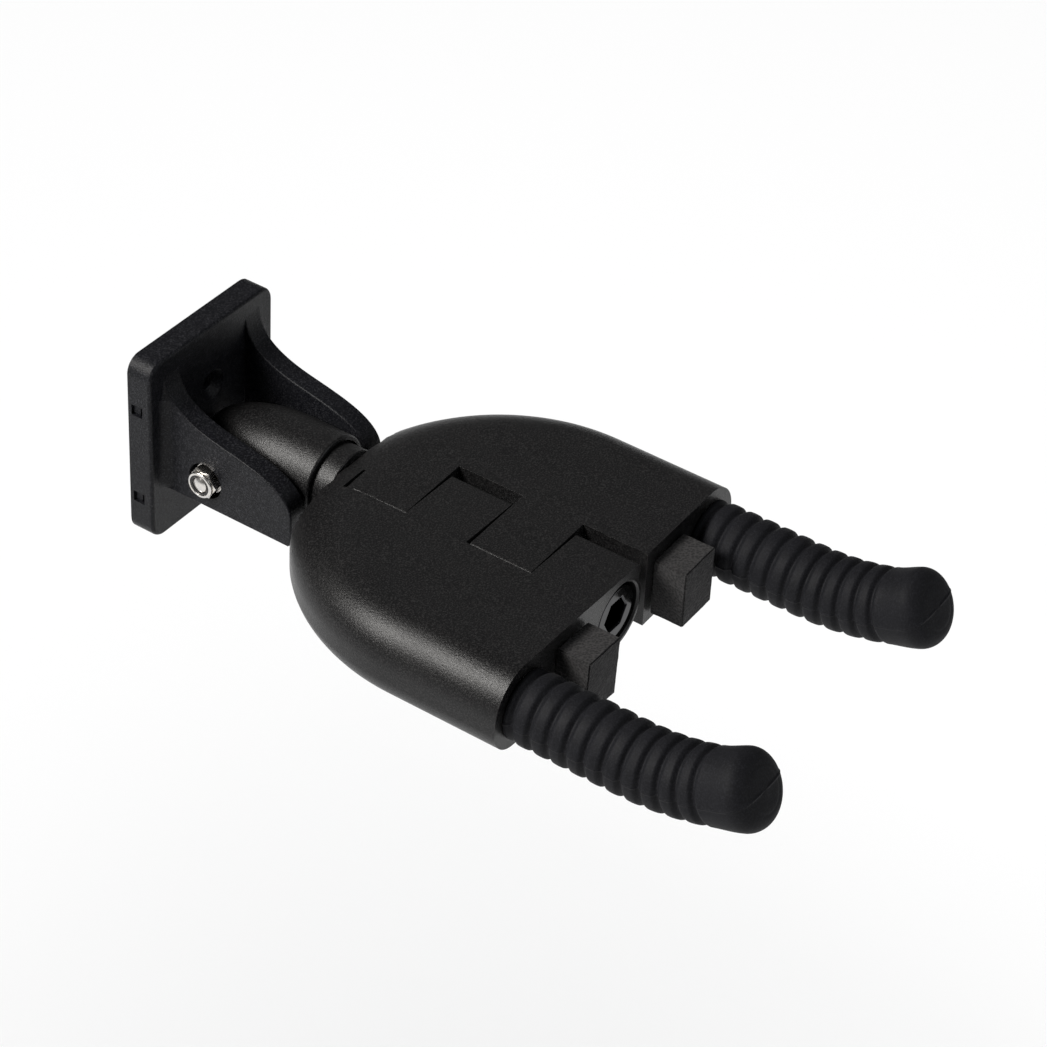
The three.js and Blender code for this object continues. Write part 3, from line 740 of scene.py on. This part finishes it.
def knuckle_outline(tip):
    """A round barrel on the axis with a square lug on top, and its web to the wing."""
    top, bottom, radius = HEAD["top"] + PAST, HEAD["bottom"], KNUCKLE["radius"]
    far, near, start = KNUCKLE_WEB["far"], KNUCKLE_WEB["near"], KNUCKLE_WEB["arc_start"]
    outline = [(far, top), (far, bottom - PAST), (near, bottom - PAST), (near, bottom)]
    end = 0 if tip > radius else math.acos(tip / radius)
    for step in range(33):
        angle = start + (end - start) * step / 32
        outline.append((radius * math.cos(angle), radius * math.sin(angle)))
    if tip > radius:
        outline.append((tip, TIP["shoulder"]))
    inner = tip - TIP["round"]
    for angle in quarter_turn(8):
        height = HEAD["top"] - TIP["round"] + TIP["round"] * math.sin(angle)
        outline.append((inner + TIP["round"] * math.cos(angle), height))
    outline.append((inner - 0.1, top))
    return outline


def wing_region(side):
    """What a wing takes of the slab: all beyond the knuckles' slot, a lug at the rear and two knuckles."""
    j0, j1, j2, j3 = KNUCKLE_JOINTS
    front, rear, top = HEAD["front"] - PAST, HEAD["rear"] + PAST, HEAD["top"] + PAST
    outside = -80
    region = block("region", (outside, front, HEAD["bottom"] - PAST), (-KNUCKLE["slot"], rear, top))
    bays = ((j1, j2), (j3, front)) if side < 0 else ((j0, j1), (j2, j3))
    lug_tip, lug_front = (LUG["left"], j0 + GAP) if side < 0 else (-LUG["right"], j0 - 1)
    join(region, block("rear_lug", (KNUCKLE_WEB["far"], lug_front, LUG["underside"]), (lug_tip, rear, top)))
    tip = KNUCKLE["left_tip" if side < 0 else "right_tip"]
    for bay_rear, bay_front in bays:
        join(region, prism("knuckle", knuckle_outline(tip), "Y", bay_front + GAP, bay_rear - GAP))
    return region


def counterbore():
    """The hole for the hinge bolt's head, with a broken edge."""
    face, radius = HEAD["front"], COUNTERBORE["radius"]
    profile = [(face + COUNTERBORE["depth"], radius), (face + 0.5, radius), (face - 0.1, radius + 0.6)]
    return turned("counterbore", profile, "Y", (0, 0, 0), 96)


def wing(side, name):
    half = keep(head_slab(), wing_region(side))
    half.name = f"{name}_wing_casting"
    soften(half, 0.55, 3, 34)
    axis, front = (0, 0, 0), HEAD["front"] - PAST
    cut(half, rod("bore", "Y", axis, KNUCKLE["bore"], front, HEAD["rear"] + 2))
    spring_joint = KNUCKLE_JOINTS[1 if side < 0 else 2]
    spring_floor = spring_joint - GAP - SPRING["depth"]
    cut(half, rod("spring_pocket", "Y", axis, SPRING["radius"], spring_floor, spring_joint + 1))
    arm = (-ARM["x"], 0, ARM["z"])
    cut(half, rod("prong_socket", "Y", arm, ARM["prong"] + GAP, front, HEAD["front"] + SOCKET_DEPTH))
    grub_low, grub_high = (ARM["z"] - depth for depth in GRUB["below"])
    cut(half, rod("grub_hole", "Z", (-ARM["x"], GRUB["y"], 0), GRUB["radius"], grub_low, grub_high))
    if side < 0:
        cut(half, counterbore())
    lifted(half, side)
    finished(half, f"{name}_side", MATERIALS["head_coating"], [f"{name}_wing"], 34)


def hinge_bolt():
    """The long hinge bolt's socket head, deep in the left wing's counterbore."""
    low, high = extent("hinge_bolt")
    head, shank, edge = high.x, HINGE_BOLT["shank"], HINGE_BOLT["edge"]
    seat = low.y + HINGE_BOLT["head_height"]
    profile = [(high.y, shank), (seat, shank), (seat - 0.01, head - 0.2), (seat - 0.3, head)]
    for angle in quarter_turn(6):
        profile.append((low.y + edge - edge * math.sin(angle), head - edge + edge * math.cos(angle)))
    bolt = turned("hinge_bolt_turned", profile, "Y", AXIS, 96)
    socket = [
        (low.y + HINGE_BOLT["socket_depth"], HINGE_BOLT["socket"]),
        (low.y + 0.45, HINGE_BOLT["socket"]),
        (low.y - 0.2, HINGE_BOLT["mouth"]),
    ]
    cut(bolt, turned("socket", socket, "Y", AXIS, 6))
    soften(bolt, 0.12, 2, 40)
    finished(bolt, "neck", MATERIALS["black_oxide"], ["hinge_bolt"], 34)


# --- Sleeves and foam ------------------------------------------------------------------------------------

RIBS = {"count": 11, "first": 2.6, "pitch": 5.3, "depth": 0.95, "width": 1.5, "crown": 0.3}
BULB = {"waist": 9.95, "waist_at": 13.0, "radius": 10.5, "round": 4.5, "crown": 0.35}
SEAM = {"height": 0.2, "width": 0.3, "close": (0.012, 0.024, 0.04, 0.06)}
SLEEVE_STEP = 0.3
BORE_STATIONS = (-1, 15, ARM["straight"], 38, 44, 50, 56, 62, 65)  # closer together where the arm bends


def smooth(share):
    """Eases a share from 0 to 1 in and out."""
    return share * share * (3 - 2 * share)


def sleeve_radius(distance):
    """The radius along the arm: a plain collar, crowned ribs parted by grooves, and the bulb's waist."""
    radius = ARM["radius"]
    ribs_end = RIBS["first"] + (RIBS["count"] - 1) * RIBS["pitch"]
    if distance < RIBS["first"]:
        outer = radius - 0.2
    elif distance < ribs_end:
        across = ((distance - RIBS["first"]) / RIBS["pitch"]) % 1 - 0.5
        outer = radius + 0.15 - RIBS["crown"] * (2 * across) ** 2
    else:
        waist_at = ARM["length"] - BULB["waist_at"]
        settle = min(1, (distance - ribs_end) / (waist_at - ribs_end))
        flare = min(1, max(0, distance - waist_at) / (BULB["waist_at"] - BULB["round"]))
        outer = radius - 0.1 + (BULB["waist"] - radius + 0.1) * settle
        outer += (BULB["radius"] - BULB["waist"]) * smooth(flare)
    nearest = round((distance - RIBS["first"]) / RIBS["pitch"])
    groove = RIBS["first"] + min(max(nearest, 0), RIBS["count"] - 1) * RIBS["pitch"]
    inside = max(0, 1 - abs(distance - groove) / RIBS["width"])
    return outer - RIBS["depth"] * smooth(inside)


def arm_frame(distance):
    """The centre of the arm at a distance from the front face, and how far it has turned upwards."""
    turn = max(0, distance - ARM["straight"]) / ARM["bend"]
    level = min(distance, ARM["straight"])
    y = HEAD["front"] - level - ARM["bend"] * math.sin(turn)
    return Vector((-ARM["x"], y, ARM["z"] + ARM["bend"] * (1 - math.cos(turn)))), turn


def round_arm(centre, turn, radius, angle):
    """A point at a radius and an angle round the arm's centre line."""
    up = radius * math.sin(angle)
    return centre + Vector((radius * math.cos(angle), up * math.sin(turn), up * math.cos(turn)))


def sleeve_stations():
    """(distance, radius) from the sleeve's end at the wing to the middle of its tip."""
    length, edge = ARM["length"], BULB["round"]
    stations = [(GAP, ARM["prong"] + GAP), (GAP, ARM["radius"] - 0.45)]
    distance = 0.45
    while distance < length - edge:
        stations.append((distance, sleeve_radius(distance)))
        distance += SLEEVE_STEP
    flat = BULB["radius"] - edge
    for angle in quarter_turn(24):
        stations.append((length - edge + edge * math.sin(angle), flat + edge * math.cos(angle)))
    for angle in quarter_turn(6)[1:]:
        stations.append((length + BULB["crown"] * math.sin(angle), flat * math.cos(angle) + 0.02))
    return stations


def sleeve_angles():
    """Even angles round the sleeve, and some close to the mould seam on each side."""
    sides = 144
    angles = [2 * math.pi * i / sides for i in range(sides)]
    angles += [base + turn * close for base in (0, math.pi) for turn in (-1, 1) for close in SEAM["close"]]
    return sorted({round(angle % (2 * math.pi), 5) for angle in angles})


def sleeve(side, name):
    """A ribbed sleeve with a raised mould seam along both sides and over the tip."""
    angles = sleeve_angles()
    tip_start = ARM["length"] - BULB["round"]
    rings = []
    for distance, radius in sleeve_stations():
        centre, turn = arm_frame(distance)
        forward = Vector((0, -math.cos(turn), math.sin(turn)))
        on_tip = min(1, max(0, distance - tip_start) / BULB["round"])
        ring = []
        for angle in angles:
            seam = SEAM["height"] * math.exp(-((radius * math.sin(angle) / SEAM["width"]) ** 2))
            point = round_arm(centre, turn, radius + seam * (1 - on_tip), angle)
            ring.append(point + forward * (seam * on_tip))
        rings.append(ring)
    rubber = loft(f"{name}_sleeve_moulding", rings)
    cut(rubber, bore_tool())
    lifted(rubber, side)
    finished(rubber, f"{name}_side", MATERIALS["sleeve_rubber"], [f"{name}_sleeve"], 60)


def bore_tool():
    """The prong's hole in a sleeve."""
    sides = 32
    rings = []
    for distance in BORE_STATIONS:
        centre, turn = arm_frame(distance)
        angles = [2 * math.pi * i / sides for i in range(sides)]
        rings.append([round_arm(centre, turn, ARM["prong"] + GAP, angle) for angle in angles])
    return loft("bore", rings)


FOAM = {"inner": 15.5, "outer": 29.6, "depth": 10.0, "top": 8.1, "height": 18.2, "edge": 0.35, "cuts": 14}
FOAM_WAVES = ((0.35, 0.12), (1.8, 0.05))  # how often the faces wave, and how deep
FOAM_SHRINK = 0.05


def foam_block(side, name):
    """A block of foam with faintly uneven faces and slightly rounded edges."""
    front = HEAD["front"] - GAP
    low = Vector((-FOAM["outer"], front - FOAM["depth"], FOAM["top"] - FOAM["height"]))
    high = Vector((-FOAM["inner"], front, FOAM["top"]))
    piece = block(f"{name}_foam_pad", low, high)
    mesh = bmesh.new()
    mesh.from_mesh(piece.data)
    bmesh.ops.bevel(mesh, geom=mesh.edges[:], offset=FOAM["edge"], segments=2, affect="EDGES")
    bmesh.ops.subdivide_edges(mesh, edges=mesh.edges[:], cuts=FOAM["cuts"], use_grid_fill=True)
    seed = Vector((side * 31.7, 4.1, 9.3))
    for vertex in mesh.verts:
        wave = sum(noise.noise(vertex.co * often + seed) * deep for often, deep in FOAM_WAVES)
        vertex.co += vertex.normal * (wave - FOAM_SHRINK)
    mesh.to_mesh(piece.data)
    mesh.free()
    lifted(piece, side)
    finished(piece, f"{name}_side", MATERIALS["charcoal_foam"], [f"{name}_foam_block"], 50)


# --- Build -----------------------------------------------------------------------------------------------

SHOWN_AS_PACKED = {
    "backing_plate": "bracket_plastic",
    "pivot_nut_ring": "black_nylon",
    "pivot_washer_left": "zinc_plate",
    "pivot_washer_right": "zinc_plate",
    "pivot_bush_left": "black_nylon",
    "pivot_bush_right": "black_nylon",
    "swivel_screw": "black_oxide",
    "swivel_liner": "black_nylon",
    "hinge_washer": "black_oxide",
}
SHOWN_IN_WING = {
    "prong": "plain_steel",
    "prong_screw": "black_oxide",
    "return_spring": "plain_steel",
    "hinge_bush_rear": "black_nylon",
    "hinge_bush_front": "black_nylon",
}


def dress_packed_nodes():
    """Gives the CAD nodes that are shown as they are their own finish."""
    rows = dict(SHOWN_AS_PACKED)
    for side in ("left", "right"):
        rows.update({f"{side}_{node}": slot for node, slot in SHOWN_IN_WING.items()})
    for node, slot in rows.items():
        mesh = frame["nodes"][node].data
        mesh.materials.clear()
        mesh.materials.append(MATERIALS[slot])


wall_bracket()
pivot_nut()
pivot_bolt()
barrel()
neck()
thrust_ring()
hinge_bolt()
for side, name in ((-1, "left"), (1, "right")):
    wing(side, name)
    sleeve(side, name)
    foam_block(side, name)
dress_packed_nodes()


# --- Floor, lights and camera ----------------------------------------------------------------------------


FLOOR = {"half_width": 6.0, "height": -0.28}
WORLD_STRENGTH = 0.08
WARM, COOL, PALE, WHITE = (1.0, 0.98, 0.95), (0.94, 0.97, 1.0), (0.98, 0.98, 1.0), (1.0, 1.0, 1.0)
# Each lamp shines from a direction, at a distance in metres, from a square of a size, with a power in watts.
LAMPS = {
    "key": {"direction": (-0.6, 0.42, 0.66), "distance": 1.1, "size": 0.4, "watts": 20, "colour": WARM},
    "fill": {"direction": (0.2, -0.9, 0.5), "distance": 1.4, "size": 0.8, "watts": 4, "colour": COOL},
    "sky": {"direction": (0.66, 0.42, 0.62), "distance": 1.3, "size": 1.2, "watts": 0.7, "colour": PALE},
    "overhead": {"direction": (0, 0, 1), "distance": 3.0, "size": 5.0, "watts": 192, "colour": WHITE},
}


def floor():
    material = bpy.data.materials.new("floor")
    material.use_nodes = True
    surface = material.node_tree.nodes["Principled BSDF"]
    surface.inputs["Base Color"].default_value = (0.92, 0.92, 0.92, 1)
    surface.inputs["Roughness"].default_value = 1.0
    surface.inputs["Specular IOR Level"].default_value = 0.0
    half, z = FLOOR["half_width"], FLOOR["height"]
    corners = [(-half, -half, z), (half, -half, z), (half, half, z), (-half, half, z)]
    plane = new_object("floor", corners, [(0, 1, 2, 3)])
    plane.data.materials.append(material)
    return plane


def softbox(name, direction, distance, size, watts, colour):
    light = bpy.data.lights.new(name, "AREA")
    light.shape = "SQUARE"
    light.size = size
    light.energy = watts
    light.color = colour
    lamp = bpy.data.objects.new(name, light)
    aim = (cad_low + cad_high) / 2
    lamp.location = aim + Vector(direction).normalized() * distance
    lamp.rotation_mode = "QUATERNION"
    lamp.rotation_quaternion = Vector(direction).to_track_quat("Z", "Y")
    bpy.context.scene.collection.objects.link(lamp)
    return lamp


def link_to_floor(lamp, plane, state):
    """Lets a lamp light only the floor (INCLUDE) or all but the floor (EXCLUDE), to keep it even."""
    linked = bpy.data.collections.new(f"{lamp.name}_floor")
    linked.objects.link(plane)
    linked.collection_objects[0].light_linking.link_state = state
    lamp.light_linking.receiver_collection = linked


def surroundings():
    world = bpy.data.worlds.new("studio")
    world.use_nodes = True
    background = world.node_tree.nodes["Background"]
    background.inputs["Color"].default_value = (1, 1, 1, 1)
    background.inputs["Strength"].default_value = WORLD_STRENGTH
    bpy.context.scene.world = world


CAMERA = {
    "aim": Vector((0.01766, -0.09887, -0.00455)),
    "azimuth": math.radians(-57.82),
    "elevation": math.radians(38.61),
    "roll": math.radians(3.86),
    "distance": 0.8593,
    "lens": 111.6,
}


def camera():
    data = bpy.data.cameras.new("camera")
    data.sensor_width = 36
    data.lens = CAMERA["lens"]
    data.clip_start = 0.01
    data.clip_end = 50
    view = bpy.data.objects.new("camera", data)
    azimuth, elevation = CAMERA["azimuth"], CAMERA["elevation"]
    back = Vector((
        math.sin(azimuth) * math.cos(elevation),
        -math.cos(azimuth) * math.cos(elevation),
        math.sin(elevation),
    ))
    view.location = CAMERA["aim"] + back * CAMERA["distance"]
    view.rotation_mode = "QUATERNION"
    view.rotation_quaternion = back.to_track_quat("Z", "Y") @ Quaternion((0, 0, 1), CAMERA["roll"])
    bpy.context.scene.collection.objects.link(view)
    bpy.context.scene.camera = view


ground = floor()
surroundings()
for name, lamp in LAMPS.items():
    link_to_floor(softbox(name, **lamp), ground, "INCLUDE" if name == "overhead" else "EXCLUDE")
camera()
bpy.context.scene.view_settings.view_transform = "Standard"
